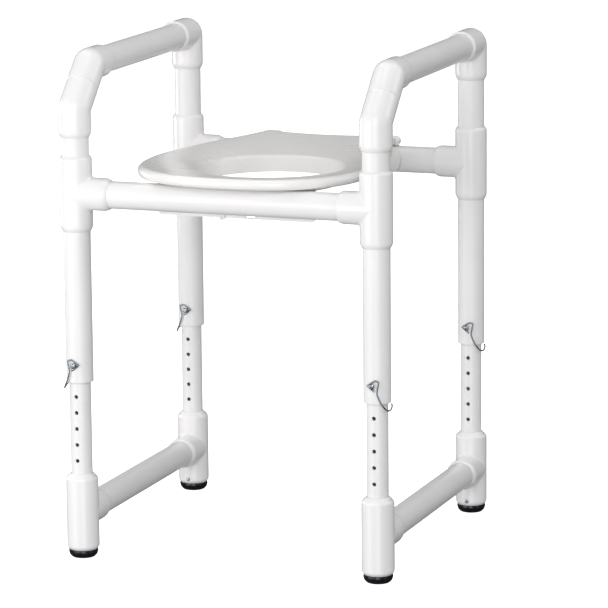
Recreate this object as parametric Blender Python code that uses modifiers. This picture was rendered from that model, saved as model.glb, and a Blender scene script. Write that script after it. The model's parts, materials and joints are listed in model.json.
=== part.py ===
"""Raised toilet seat: a dished, lift-up seat on a frame of white PVC pipe with four height-adjustable legs.

Blender 4.5 script, metres, +Z up. The front of the seat faces -Y and +X is to the right of somebody who
looks at it from the front. The origin is on the floor, at the bottom centre of the whole object.
Run it with: blender --background --python part.py
"""

import math

import bmesh
import bpy
from mathutils import Matrix, Vector

# Layout of the frame
POST_SPACING_X = 0.487  # left post axis to right post axis
POST_SPACING_Y = 0.461  # front post axis to back post axis
SHIFT_Y = 0.00725  # puts the bottom centre of the bounding box on the origin
SEAT_RAIL_Z = 0.575  # axis of the two crossbars under the seat
ARM_Z = 0.7665  # axis of the arm rails
BRACE_Z = 0.0725  # axis of the side braces near the floor
LEFT_X, RIGHT_X = -POST_SPACING_X / 2, POST_SPACING_X / 2
FRONT_Y, BACK_Y = SHIFT_Y - POST_SPACING_Y / 2, SHIFT_Y + POST_SPACING_Y / 2

# Pipe and fittings: 1 1/4 inch pipe for the frame, 1 inch pipe for the sliding legs
PIPE_R = 0.0211
PIPE_BORE_R = 0.01755
LEG_R = 0.0167
LEG_BORE_R = 0.0133
HUB_R = 0.0252  # outside of every fitting
SOCKET_R = 0.0214
STOP_R = 0.0175  # bore between the sockets, which stops the pipe
SOCKET_DEPTH = 0.032
TEE_HALF = 0.0585  # from the crossing of the axes to the face of each socket
BRANCH_STEP = 0.0004  # a tee's branch is this much thinner than its run, inside and out
ELBOW_90_LEG = 0.0575
ELBOW_45_LEG = 0.0433
ELBOW_45_SOCKET = 0.028
ELBOW_BEND = 0.004  # of the axis: the outside is nearly a ball, and the inside is a mitre
SPIGOT_LENGTH = 0.0265
GAP = 0.0003  # between pieces that touch
OVERRUN = 0.002  # how far a cutter passes the face that it cuts

# Height adjustment
HOLE_PITCH = 0.0254
PIN_Z = 0.309  # height of the lock pins
HOLES_ABOVE, HOLES_BELOW = 1, 6  # holes of the leg above and below the one that the pin is in
HOLE_R = 0.0035
OUTER_LEG_END_Z = 0.2805
INNER_LEG_TOP_Z = 0.385
BUSHING_BORE_R = 0.0170
BUSHING_COLLAR = 0.0035

# Glide feet
GLIDE_R = 0.0230
GLIDE_FLAT_R = 0.0130
GLIDE_STEM_TOP_Z = 0.041
GLIDE_SCREW_Z = 0.022
GLIDE_SCREW_R = 0.0016
GLIDE_SCREW_HEAD_R = 0.0032
GLIDE_SCREW_LENGTH = 0.008

# Lock pins and their wire clips, in the leg's own frame: origin on the leg's axis at pin height
PIN_R = 0.0030
PIN_HEAD_R = 0.0042
PIN_NECK_R = 0.0022
PIN_TIP_Y = 0.027
NECK_FRONT_Y, NECK_BACK_Y = -0.0249, -0.0214
PIN_HEAD_LENGTH = 0.0036
WIRE_R = 0.00115
EYE_Y = -0.0231  # plane of the clip's eye, between the pipe and the pin's head

# Seat
SEAT_X = 0.008  # the seat sits this far to the right of the frame's centre
SEAT_HALF_WIDTH = 0.1856
SEAT_FRONT_Y = SHIFT_Y - 0.2720
SEAT_WIDEST_Y = SHIFT_Y - 0.085
SEAT_REAR_Y = SHIFT_Y + 0.2070
SEAT_REAR_HALF_WIDTH = 0.1085
SEAT_CORNER_R = 0.010
SEAT_NOSE_POWER = 2.45  # of the front half of the outline, where 2 would be an ellipse
SEAT_SIDE_POWER = 1.57  # how the outline narrows behind its widest place
SEAT_UNDERSIDE_Z = 0.5988
SEAT_CREST_Z = 0.6155
SEAT_REAR_RISE = 0.0022  # how far the crest rises to the back corners
SEAT_REAR_DIP = 0.0033  # how far it falls between them, in the middle of the back edge
SEAT_CREASE_FRONT_Z = 0.6035  # edge where the dished top turns down into the opening
SEAT_CREASE_BACK_Z = 0.5985
SEAT_LIP_Z = 0.5765  # bottom of the opening's sloping wall
OPENING_Y = SHIFT_Y - 0.054
OPENING_HALF_WIDTH = 0.104
OPENING_HALF_LENGTH = 0.113

# Seat hinge
HINGE_X = 0.1005  # from the seat's centre to the middle of each hinge
HINGE_RISE = 0.0295  # barrel axis above the back crossbar's axis
BARREL_R = 0.0080
KNUCKLE_HALF = 0.0085
CLAMP_HALF = 0.0160
DOME_LENGTH = 0.0068  # of the rounded outer ends of a clamp's two ears
EAR_WEB_HALF_WIDTH, EAR_WEB_HALF_DEPTH = 0.0112, 0.0055  # what joins the ears to the saddle
SADDLE_R = 0.0240
SADDLE_DISC_R = 0.0245
HINGE_PIN_R = 0.0025
HINGE_BORE_R = 0.0028
TAB_THICKNESS = 0.010

# Guard plate behind the front crossbar
GUARD_HALF_WIDTH = 0.1280
GUARD_Y = SHIFT_Y - 0.2000
GUARD_THICKNESS = 0.0032
GUARD_BOTTOM_Z = 0.5435
GUARD_CHAMFER = 0.004
GUARD_FLANGE = 0.010
GUARD_HOLE_X = 0.023  # from the plate's centre to each of its two fixing places
GUARD_HOLE_Z = 0.5466
SLOT_LENGTH, SLOT_HEIGHT = 0.0158, 0.0032
KNOB_R = 0.0062

PIPE_SIDES = 16
SMALL_SIDES = 8
HOLE_SIDES = 8
SEAT_NAME = "raised_toilet_seat"

SIDES = {"left": LEFT_X, "right": RIGHT_X}
ENDS = {"front": FRONT_Y, "back": BACK_Y}


def clear_scene():
    for obj in list(bpy.data.objects):
        bpy.data.objects.remove(obj)


def make_material(name, colour, roughness, metallic=0.0):
    material = bpy.data.materials.new(name)
    material.use_nodes = True
    shader = material.node_tree.nodes["Principled BSDF"]
    shader.inputs["Base Color"].default_value = (*colour, 1.0)
    shader.inputs["Roughness"].default_value = roughness
    shader.inputs["Metallic"].default_value = metallic
    return material


def make_collection(name):
    collection = bpy.data.collections.new(name)
    bpy.context.scene.collection.children.link(collection)
    return collection


def place(name, mesh, material, location=(0, 0, 0), rotation=(0, 0, 0)):
    """One node of the object: a mesh under a name, with its own material and its own place."""
    obj = bpy.data.objects.new(name, mesh)
    PARTS.objects.link(obj)
    obj.location = location
    obj.rotation_euler = rotation
    if not mesh.materials:
        mesh.materials.append(material)
    mesh.shade_smooth()
    mesh.set_sharp_from_angle(angle=math.radians(35))
    return obj


def helper(mesh, location=(0, 0, 0), rotation=(0, 0, 0)):
    """A shape that only builds another one: it is cut from or joined to a piece, and then removed."""
    obj = bpy.data.objects.new("helper", mesh)
    HELPERS.objects.link(obj)
    obj.location = location
    obj.rotation_euler = rotation
    obj.hide_render = True
    obj.display_type = "WIRE"
    return obj


def evaluated_mesh(obj, name):
    graph = bpy.context.evaluated_depsgraph_get()
    mesh = bpy.data.meshes.new_from_object(obj.evaluated_get(graph))
    mesh.name = name
    return mesh


def turned_mesh(name, profile, sides=PIPE_SIDES, closed=False):
    """A turned shape about Z. The profile is (radius, z) points that run down its outer side."""
    mesh = bpy.data.meshes.new(name)
    points = [(radius, 0, z) for radius, z in profile]
    edges = [(i, i + 1) for i in range(len(points) - 1)]
    if closed:
        edges.append((len(points) - 1, 0))
    mesh.from_pydata(points, edges, [])
    obj = helper(mesh)
    screw = obj.modifiers.new("Screw", "SCREW")
    screw.steps = sides
    screw.render_steps = sides
    screw.use_merge_vertices = True
    screw.merge_threshold = 0.00001
    result = evaluated_mesh(obj, name)
    bpy.data.objects.remove(obj)
    return result


def rod_mesh(name, radius, low, high, sides=PIPE_SIDES):
    return turned_mesh(name, [(0, high), (radius, high), (radius, low), (0, low)], sides)


def tube_mesh(name, radius, bore, low, high):
    """A pipe about Z."""
    profile = [(bore, high), (radius, high), (radius, low), (bore, low)]
    return turned_mesh(name, profile, closed=True)


def block_mesh(name, low, high):
    """A box between two corners."""
    mesh = bpy.data.meshes.new(name)
    shape = bmesh.new()
    bmesh.ops.create_cube(shape, size=1.0)
    size = [b - a for a, b in zip(low, high)]
    middle = [(a + b) / 2 for a, b in zip(low, high)]
    bmesh.ops.scale(shape, vec=size, verts=shape.verts)
    bmesh.ops.translate(shape, vec=middle, verts=shape.verts)
    shape.to_mesh(mesh)
    shape.free()
    return mesh


def outline_mesh(name, points, half_thickness):
    """A flat outline in its own XY plane, as thick as twice half_thickness along Z."""
    curve = bpy.data.curves.new(name, "CURVE")
    curve.dimensions = "2D"
    curve.fill_mode = "BOTH"
    curve.extrude = half_thickness
    spline = curve.splines.new("POLY")
    spline.points.add(len(points) - 1)
    for point, (x, y) in zip(spline.points, points):
        point.co = (x, y, 0, 1)
    spline.use_cyclic_u = True
    return mesh_of_curve(curve, name)


def swept_mesh(name, points, radius, sides):
    """A round bar of this radius along a line of points."""
    curve = bpy.data.curves.new(name, "CURVE")
    curve.dimensions = "3D"
    curve.bevel_depth = radius
    curve.bevel_resolution = (sides - 4) // 2
    curve.use_fill_caps = True
    spline = curve.splines.new("POLY")
    spline.points.add(len(points) - 1)
    for point, place_ in zip(spline.points, points):
        point.co = (*place_, 1)
    return mesh_of_curve(curve, name)


def mesh_of_curve(curve, name):
    """The curve as a closed mesh, with its caps welded to its sides."""
    obj = helper(curve)
    mesh = evaluated_mesh(obj, name)
    bpy.data.objects.remove(obj)
    shape = bmesh.new()
    shape.from_mesh(mesh)
    bmesh.ops.remove_doubles(shape, verts=shape.verts, dist=0.000002)
    bmesh.ops.recalc_face_normals(shape, faces=shape.faces)
    shape.to_mesh(mesh)
    shape.free()
    return mesh


def combine(name, base, join=(), cut=()):
    """The base mesh with some helper objects joined to it and others then cut from it."""
    obj = helper(base)
    for others, operation in ((join, "UNION"), (cut, "DIFFERENCE")):
        for other in others:
            boolean = obj.modifiers.new(operation, "BOOLEAN")
            boolean.object = other
            boolean.operation = operation
            boolean.solver = "EXACT"
    result = evaluated_mesh(obj, name)
    for used in (obj, *join, *cut):
        bpy.data.objects.remove(used)
    result.materials.clear()
    return result


def socket_cutter(stop_radius):
    """What bores a tee's socket from its face, and then the smaller stop bore down to the tee's middle."""
    return [
        (0, TEE_HALF + OVERRUN),
        (SOCKET_R, TEE_HALF + OVERRUN),
        (SOCKET_R, TEE_HALF - SOCKET_DEPTH),
        (stop_radius, TEE_HALF - SOCKET_DEPTH),
        (stop_radius, 0),
        (0, 0),
    ]


def tee_mesh(name, with_screw_hole=False):
    """A tee: its run is along Z and its branch along +X."""
    quarter = math.pi / 2
    run = rod_mesh("run", HUB_R, -TEE_HALF, TEE_HALF)
    branch = helper(rod_mesh("branch", HUB_R - BRANCH_STEP, 0, TEE_HALF), rotation=(0, quarter, 0))
    upper_half = socket_cutter(STOP_R)[:4]
    lower_half = [(radius, -z) for radius, z in reversed(upper_half)]
    run_bore = helper(turned_mesh("run_bore", upper_half + lower_half))
    branch_mesh = turned_mesh("branch_bore", socket_cutter(STOP_R - BRANCH_STEP))
    branch_bore = helper(branch_mesh, rotation=(0, quarter, 0))
    cutters = [run_bore, branch_bore]
    if with_screw_hole:
        cutters.append(screw_hole_cutter(GLIDE_SCREW_Z - BRACE_Z))
    return combine(name, run, join=[branch], cut=cutters)


def screw_hole_cutter(height):
    """A radial hole along +X at this height, from inside the glide's stem out past the fitting."""
    mesh = rod_mesh("screw_hole", GLIDE_SCREW_R + GAP, SOCKET_R - 0.006, HUB_R + OVERRUN, HOLE_SIDES)
    return helper(mesh, location=(0, 0, height), rotation=(0, math.pi / 2, 0))


def bend_point(across, out, turn, angle):
    """A point of a bent surface, at this much of the turn. It is across the bend and out from the axis.

    The bend runs up the Z axis and turns towards +Y by angle. What lies inside its centre meets in a mitre.
    """
    reach = max(ELBOW_BEND + out, 0)
    centre_y = reach - out
    centre_z = -centre_y * math.tan(angle / 2)
    return (across, centre_y - reach * math.cos(turn), centre_z + reach * math.sin(turn))


def bent_rod_mesh(name, radius, leg, angle, steps):
    """A solid bent rod: a straight leg up the Z axis, the bend, and as long a leg beyond it."""
    mesh = bpy.data.meshes.new(name)
    shape = bmesh.new()
    rings = []
    for i in range(-1, steps + 2):
        ring = []
        for k in range(PIPE_SIDES):
            around = 2 * math.pi * k / PIPE_SIDES
            across, out = radius * math.sin(around), radius * math.cos(around)
            if i < 0:
                spot = (across, -out, -leg)
            elif i > steps:
                far = leg * math.sin(angle) - out * math.cos(angle)
                spot = (across, far, leg * math.cos(angle) + out * math.sin(angle))
            else:
                spot = bend_point(across, out, angle * i / steps, angle)
            ring.append(shape.verts.new(spot))
        rings.append(ring)
    for ring, after in zip(rings, rings[1:]):
        for k in range(PIPE_SIDES):
            j = (k + 1) % PIPE_SIDES
            shape.faces.new((ring[k], ring[j], after[j], after[k]))
    shape.faces.new(rings[0])
    shape.faces.new(rings[-1])
    bmesh.ops.remove_doubles(shape, verts=shape.verts, dist=0.000002)
    bmesh.ops.recalc_face_normals(shape, faces=shape.faces)
    shape.to_mesh(mesh)
    shape.free()
    return mesh


def elbow_mesh(name, leg, angle, depth, steps, spigot=False):
    """An elbow with a socket at each end, or with a spigot in place of the socket at its lower end."""
    outside = bent_rod_mesh("outside", HUB_R, leg, angle, steps)
    bore = helper(bent_rod_mesh("bore", STOP_R, leg + SPIGOT_LENGTH + OVERRUN, angle, steps))
    mouth = rod_mesh("mouth", SOCKET_R, leg - depth, leg + OVERRUN)
    upper = helper(mouth, rotation=(-angle, 0, 0))
    if spigot:
        low = -leg - SPIGOT_LENGTH
        stub = helper(rod_mesh("stub", PIPE_R, low, -leg + SPIGOT_LENGTH / 2))
        return combine(name, outside, join=[stub], cut=[bore, upper])
    lower = helper(mouth.copy(), rotation=(math.pi, 0, 0))
    return combine(name, outside, cut=[bore, lower, upper])


def add_pipe(name, radius, bore, start, end):
    """A straight pipe between two points on one axis of the frame."""
    start, end = Vector(start), Vector(end)
    length = (end - start).length
    turn = (end - start).to_track_quat("Z", "Y").to_euler()
    place(name, tube_mesh(name, radius, bore, 0, length), PVC, start, turn)


def add_fixed_frame():
    """Tees, crossbars, posts, elbows and arm rails: everything that is glued into one frame."""
    tee = tee_mesh("seat_tee")
    right = math.pi
    inset = TEE_HALF - SOCKET_DEPTH + GAP
    for side, x in SIDES.items():
        for end, y in ENDS.items():
            turn = (0, 0, 0 if side == "left" else right)
            place(f"seat_tee_{end}_{side}", tee, PVC, (x, y, SEAT_RAIL_Z), turn)
    for end, y in ENDS.items():
        ends = (LEFT_X + inset, RIGHT_X - inset)
        add_pipe(f"{end}_crossbar", PIPE_R, PIPE_BORE_R, (ends[0], y, SEAT_RAIL_Z), (ends[1], y, SEAT_RAIL_Z))
    add_elbows_and_arms(SEAT_RAIL_Z + inset)
    add_outer_legs(SEAT_RAIL_Z - inset)


def add_elbows_and_arms(post_bottom):
    eighth = math.pi / 4
    lower = elbow_mesh("lower_elbow", ELBOW_45_LEG, eighth, ELBOW_45_SOCKET, 2)
    upper = elbow_mesh("upper_elbow", ELBOW_45_LEG, eighth, ELBOW_45_SOCKET, 2, spigot=True)
    corner = elbow_mesh("corner_elbow", ELBOW_90_LEG, 2 * eighth, SOCKET_DEPTH, 4)
    rise = math.sqrt(2) * ELBOW_45_LEG
    front_top = ARM_Z - rise - ELBOW_45_LEG + ELBOW_45_SOCKET - GAP
    back_top = ARM_Z - ELBOW_90_LEG + SOCKET_DEPTH - GAP
    rail_front = FRONT_Y + rise + ELBOW_45_LEG - ELBOW_45_SOCKET + GAP
    rail_back = BACK_Y - ELBOW_90_LEG + SOCKET_DEPTH - GAP
    for side, x in SIDES.items():
        place(f"front_elbow_lower_{side}", lower, PVC, (x, FRONT_Y, ARM_Z - rise))
        place(f"front_elbow_upper_{side}", upper, PVC, (x, FRONT_Y + rise, ARM_Z), (-eighth, 0, 0))
        place(f"back_elbow_{side}", corner, PVC, (x, BACK_Y, ARM_Z), (0, 0, math.pi))
        add_pipe(f"front_post_{side}", PIPE_R, PIPE_BORE_R, (x, FRONT_Y, post_bottom), (x, FRONT_Y, front_top))
        add_pipe(f"back_post_{side}", PIPE_R, PIPE_BORE_R, (x, BACK_Y, post_bottom), (x, BACK_Y, back_top))
        add_pipe(f"arm_rail_{side}", PIPE_R, PIPE_BORE_R, (x, rail_front, ARM_Z), (x, rail_back, ARM_Z))


def pin_hole_cutter(heights, half_length):
    """Cylinders along Y at these heights, which cut straight through a leg."""
    mesh = bpy.data.meshes.new("pin_holes")
    shape = bmesh.new()
    for height in heights:
        lie = Matrix.Translation((0, 0, height)) @ Matrix.Rotation(math.pi / 2, 4, "X")
        bmesh.ops.create_cone(
            shape,
            cap_ends=True,
            segments=HOLE_SIDES,
            radius1=HOLE_R,
            radius2=HOLE_R,
            depth=2 * half_length,
            matrix=lie,
        )
    shape.to_mesh(mesh)
    shape.free()
    return helper(mesh)


def add_outer_legs(top):
    """The fixed outer pipe of each leg, with one hole for the lock pin."""
    tube = tube_mesh("tube", PIPE_R, PIPE_BORE_R, OUTER_LEG_END_Z, top)
    leg = combine("outer_leg", tube, cut=[pin_hole_cutter([PIN_Z], HUB_R)])
    for side, x in SIDES.items():
        for end, y in ENDS.items():
            place(f"outer_leg_{end}_{side}", leg, PVC, (x, y, 0))


def inner_leg_mesh():
    """The sliding pipe, with a row of holes that the lock pin can go through."""
    bottom = BRACE_Z + TEE_HALF - SOCKET_DEPTH + GAP
    tube = tube_mesh("tube", LEG_R, LEG_BORE_R, bottom, INNER_LEG_TOP_Z)
    steps = range(-HOLES_BELOW, HOLES_ABOVE + 1)
    holes = pin_hole_cutter([PIN_Z + HOLE_PITCH * step for step in steps], HUB_R)
    return combine("inner_leg", tube, cut=[holes])


def bushing_mesh():
    """The reducer that fills the lower tee's top socket round the thinner leg, with a tapered collar."""
    top = BRACE_Z + TEE_HALF
    bottom = top - SOCKET_DEPTH + GAP
    profile = [
        (BUSHING_BORE_R, top + BUSHING_COLLAR),
        (BUSHING_BORE_R + 0.0012, top + BUSHING_COLLAR),
        (PIPE_R, top + GAP),
        (PIPE_R, bottom),
        (BUSHING_BORE_R, bottom),
    ]
    return turned_mesh("leg_bushing", profile, closed=True)


def glide_mesh():
    """The domed plastic foot, with a stem that plugs into the lower tee and a pilot hole for its screw."""
    flange_top = BRACE_Z - TEE_HALF - GAP
    bulge = 0.0045
    profile = [
        (0, GLIDE_STEM_TOP_Z),
        (PIPE_R - 0.001, GLIDE_STEM_TOP_Z),
        (PIPE_R, GLIDE_STEM_TOP_Z - 0.001),
        (PIPE_R, flange_top),
        (GLIDE_R, flange_top),
        (GLIDE_R, bulge),
        (GLIDE_R - 0.0016, 0.0016),
        (GLIDE_FLAT_R + 0.004, 0.0003),
        (GLIDE_FLAT_R, 0),
        (0, 0),
    ]
    return combine("glide_foot", turned_mesh("plug", profile), cut=[screw_hole_cutter(GLIDE_SCREW_Z)])


def screw_mesh(head_radius, shank_radius, length):
    """A pan-head screw about Z: the head stands on z = 0 and the shank runs down."""
    dome = 0.0018
    profile = [
        (0, dome + 0.0004),
        (head_radius * 0.6, dome),
        (head_radius, 0.0008),
        (head_radius, GAP),
        (shank_radius, GAP),
        (shank_radius, -length),
        (0, -length),
    ]
    return turned_mesh("screw", profile, SMALL_SIDES)


def add_leg_units():
    """On each side, the sliding legs, their lower tees and feet, and the brace between them."""
    tee = tee_mesh("lower_tee", with_screw_hole=True)
    leg = inner_leg_mesh()
    bushing = bushing_mesh()
    glide = glide_mesh()
    screw = screw_mesh(GLIDE_SCREW_HEAD_R, GLIDE_SCREW_R, GLIDE_SCREW_LENGTH)
    quarter = math.pi / 2
    inset = TEE_HALF - SOCKET_DEPTH + GAP
    for side, x in SIDES.items():
        for end, y in ENDS.items():
            inward = 1 if end == "front" else -1
            place(f"inner_leg_{end}_{side}", leg, PVC, (x, y, 0))
            place(f"lower_tee_{end}_{side}", tee, PVC, (x, y, BRACE_Z), (0, 0, inward * quarter))
            place(f"leg_bushing_{end}_{side}", bushing, PVC, (x, y, 0))
            place(f"glide_foot_{end}_{side}", glide, BLACK, (x, y, 0), (0, 0, inward * quarter))
            face = (x, y + inward * HUB_R, GLIDE_SCREW_Z)
            place(f"glide_screw_{end}_{side}", screw, STEEL, face, (-inward * quarter, 0, 0))
        ends = ((x, FRONT_Y + inset, BRACE_Z), (x, BACK_Y - inset, BRACE_Z))
        add_pipe(f"side_brace_{side}", PIPE_R, PIPE_BORE_R, *ends)


def lock_pin_mesh():
    """The steel pin along Y: a head, a neck for the wire's eye, and a shank that goes through the leg."""
    head_back = NECK_FRONT_Y
    profile = [
        (0, PIN_TIP_Y),
        (PIN_R * 0.6, PIN_TIP_Y - 0.0004),
        (PIN_R, PIN_TIP_Y - 0.0025),
        (PIN_R, NECK_BACK_Y),
        (PIN_NECK_R, NECK_BACK_Y),
        (PIN_NECK_R, head_back),
        (PIN_HEAD_R, head_back),
        (PIN_HEAD_R, head_back - PIN_HEAD_LENGTH + 0.0012),
        (PIN_HEAD_R * 0.6, head_back - PIN_HEAD_LENGTH),
        (0, head_back - PIN_HEAD_LENGTH),
    ]
    return turned_mesh("lock_pin", profile, SMALL_SIDES)


def clip_points(outward):
    """The wire clip: a three-cornered eye round the pin's neck, and an arm that goes round the leg.

    Points are x away from the object's middle, y and z, from the pin's hole on the leg's axis.
    """
    bends = [
        (0.0028, EYE_Y, -0.0079),
        (-0.0068, EYE_Y, -0.0002),
        (-0.0075, EYE_Y, 0.0012),
        (-0.0062, EYE_Y, 0.0022),
        (0.0036, EYE_Y, 0.0082),
        (0.0085, EYE_Y, 0.0076),
        (0.0100, EYE_Y, 0.0055),
        (0.0074, EYE_Y, -0.0081),
        (0.0080, EYE_Y, -0.0132),
        (0.0115, -0.0218, -0.0228),
        (0.0152, -0.0198, -0.0300),
        (0.0190, -0.0158, -0.0360),
        (0.0216, -0.0105, -0.0386),
        (0.0229, -0.0040, -0.0378),
        (0.0226, 0.0020, -0.0350),
        (0.0208, 0.0075, -0.0330),
        (0.0188, 0.0108, -0.0325),
    ]
    return [(outward * x, y, z) for x, y, z in bends]


def add_lock_pins():
    pin = lock_pin_mesh()
    clips = {
        "left": swept_mesh("clip_left", clip_points(-1), WIRE_R, 8),
        "right": swept_mesh("clip_right", clip_points(1), WIRE_R, 8),
    }
    along_y = (-math.pi / 2, 0, 0)
    for side, x in SIDES.items():
        for end, y in ENDS.items():
            place(f"lock_pin_{end}_{side}", pin, STEEL, (x, y, PIN_Z), along_y)
            place(f"wire_clip_{end}_{side}", clips[side], STEEL, (x, y, PIN_Z))


def seat_outline():
    """(x, y) points round the seat's edge from the middle of its front, about its own centre line."""
    nose = SEAT_WIDEST_Y - SEAT_FRONT_Y
    tail = SEAT_REAR_Y - SEAT_CORNER_R - SEAT_WIDEST_Y
    half = []
    for i in range(9):
        turn = math.pi / 2 * i / 8
        across = math.sin(turn) ** (2 / SEAT_NOSE_POWER)
        along = max(math.cos(turn), 0) ** (2 / SEAT_NOSE_POWER)
        half.append((SEAT_HALF_WIDTH * across, SEAT_WIDEST_Y - nose * along))
    for i in range(1, 7):
        way = i / 6
        narrowing = (SEAT_HALF_WIDTH - SEAT_REAR_HALF_WIDTH) * way**SEAT_SIDE_POWER
        half.append((SEAT_HALF_WIDTH - narrowing, SEAT_WIDEST_Y + tail * way))
    for turn in (math.pi / 4, math.pi / 2):
        x = SEAT_REAR_HALF_WIDTH - SEAT_CORNER_R * (1 - math.cos(turn))
        half.append((x, SEAT_REAR_Y - SEAT_CORNER_R * (1 - math.sin(turn))))
    half.append((SEAT_REAR_HALF_WIDTH * 0.5, SEAT_REAR_Y))
    half.append((0, SEAT_REAR_Y))
    return half + [(-x, y) for x, y in reversed(half[1:-1])]


def opening_point(x, y):
    """The point of the oval opening that lies in the same direction from its centre as (x, y)."""
    turn = math.atan2(y - OPENING_Y, x)
    reach = 1 / math.hypot(math.cos(turn) / OPENING_HALF_WIDTH, math.sin(turn) / OPENING_HALF_LENGTH)
    return reach * math.cos(turn), OPENING_Y + reach * math.sin(turn)


def crest_z(x, y):
    """Height of the seat's rim, which rises to the back corners and dips between them."""
    back = min(max((y - SEAT_REAR_Y) / 0.08 + 1, 0), 1) ** 2
    dip = SEAT_REAR_DIP * max(1 - (x / SEAT_REAR_HALF_WIDTH) ** 2, 0)
    return SEAT_CREST_Z + back * (SEAT_REAR_RISE - dip)


def seat_section(crest, crease):
    """The seat's cross-section: (how far from the rim towards the opening, 0 to 1, and height)."""
    return [
        (0.03, SEAT_UNDERSIDE_Z),
        (0.00, SEAT_UNDERSIDE_Z + 0.005),
        (0.00, crest - 0.005),
        (0.05, crest - 0.0008),
        (0.12, crest),
        (0.50, (crest + crease) / 2 + 0.0010),
        (0.85, crease + 0.0010),
        (0.89, crease - 0.0010),
        (1.00, SEAT_LIP_Z),
        (0.94, SEAT_LIP_Z),
        (0.83, SEAT_UNDERSIDE_Z - 0.006),
        (0.73, SEAT_UNDERSIDE_Z),
    ]


def seat_ring_mesh():
    """The seat lofted between its long rounded outline and its oval opening."""
    mesh = bpy.data.meshes.new("seat_ring")
    shape = bmesh.new()
    rings = []
    for x, y in seat_outline():
        inner_x, inner_y = opening_point(x, y)
        ring = []
        back = (inner_y - OPENING_Y) / OPENING_HALF_LENGTH / 2 + 0.5
        crease = SEAT_CREASE_FRONT_Z + (SEAT_CREASE_BACK_Z - SEAT_CREASE_FRONT_Z) * back
        for way, height in seat_section(crest_z(x, y), crease):
            spot = (x + (inner_x - x) * way, y + (inner_y - y) * way, height)
            ring.append(shape.verts.new(spot))
        rings.append(ring)
    count = len(rings[0])
    for i, ring in enumerate(rings):
        after = rings[(i + 1) % len(rings)]
        for j in range(count):
            k = (j + 1) % count
            shape.faces.new((ring[j], ring[k], after[k], after[j]))
    bmesh.ops.recalc_face_normals(shape, faces=shape.faces)
    shape.to_mesh(mesh)
    shape.free()
    return mesh


def hinge_axis():
    return Vector((0, BACK_Y, SEAT_RAIL_Z + HINGE_RISE))


def seat_mesh():
    """The seat with a hinge knuckle on each side of its back edge, about its own centre line."""
    axis = hinge_axis()
    joins, bores = [], []
    for x in (-HINGE_X, HINGE_X):
        across = (0, math.pi / 2, 0)
        spot = (x, axis.y, axis.z)
        knuckle = rod_mesh("knuckle", BARREL_R, -KNUCKLE_HALF, KNUCKLE_HALF, 16)
        joins.append(helper(knuckle, spot, across))
        low = (x - KNUCKLE_HALF, SEAT_REAR_Y - 0.012, axis.z - TAB_THICKNESS / 2)
        high = (x + KNUCKLE_HALF, axis.y - BARREL_R / 2, axis.z + TAB_THICKNESS / 2)
        joins.append(helper(block_mesh("tab", low, high)))
        bore = rod_mesh("bore", HINGE_BORE_R, -CLAMP_HALF, CLAMP_HALF, SMALL_SIDES)
        bores.append(helper(bore, spot, across))
    return combine("seat", seat_ring_mesh(), join=joins, cut=bores)


def arc(radius, start, end, steps):
    """(y, z) points on a circle. Angles start at +Z and turn towards -Y."""
    turns = [start + (end - start) * i / steps for i in range(steps + 1)]
    return [(-radius * math.sin(turn), radius * math.cos(turn)) for turn in turns]


def ears_mesh():
    """The barrel of a clamp along Z, with domed ends."""
    shoulder = CLAMP_HALF - DOME_LENGTH
    dome = [(0.0, CLAMP_HALF)]
    for i in range(1, 4):
        turn = math.pi / 2 * i / 3
        dome.append((BARREL_R * math.sin(turn), shoulder + DOME_LENGTH * math.cos(turn)))
    return turned_mesh("ears", dome + [(r, -z) for r, z in reversed(dome)])


def hinge_clamp_mesh():
    """A saddle that snaps round the back crossbar, with two ears for the hinge pin. Its X is the bar's."""
    start, end = math.radians(-60), math.radians(145)
    inner = arc(SOCKET_R, start, end, 16)
    outer = arc(SADDLE_R, start, end, 16)
    across = (0, math.pi / 2, 0)
    saddle = outline_mesh("saddle", [(-z, y) for y, z in outer + inner[::-1]], SADDLE_DISC_R + 0.001)
    saddle.transform(Matrix.Rotation(math.pi / 2, 4, "Y"))
    saddle = combine("round_saddle", saddle, cut=[helper(rounding_cutter_mesh())])
    web_low = (-EAR_WEB_HALF_WIDTH, -EAR_WEB_HALF_DEPTH, SADDLE_R - 0.0018)
    web_high = (EAR_WEB_HALF_WIDTH, EAR_WEB_HALF_DEPTH, HINGE_RISE - 0.0020)
    joins = [
        helper(ears_mesh(), (0, 0, HINGE_RISE), across),
        helper(block_mesh("web", web_low, web_high)),
    ]
    room_x, room_r = KNUCKLE_HALF + GAP, BARREL_R + GAP
    room_low = (-room_x, -room_r, HINGE_RISE - room_r)
    room_high = (room_x, room_r, HINGE_RISE + 2 * room_r)
    cuts = [
        helper(block_mesh("room", room_low, room_high)),
        helper(rod_mesh("bore", HINGE_BORE_R, -SADDLE_R, SADDLE_R, SMALL_SIDES), (0, 0, HINGE_RISE), across),
    ]
    return combine("hinge_clamp", saddle, join=joins, cut=cuts)


def rounding_cutter_mesh():
    """What trims the saddle to a round outline as seen from the front: a thick ring about Y."""
    reach = 2 * SADDLE_DISC_R
    depth = 1.5 * SADDLE_R
    profile = [(SADDLE_DISC_R, depth), (reach, depth), (reach, -depth), (SADDLE_DISC_R, -depth)]
    mesh = turned_mesh("rounding", profile, closed=True)
    mesh.transform(Matrix.Rotation(math.pi / 2, 4, "X"))
    return mesh


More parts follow.
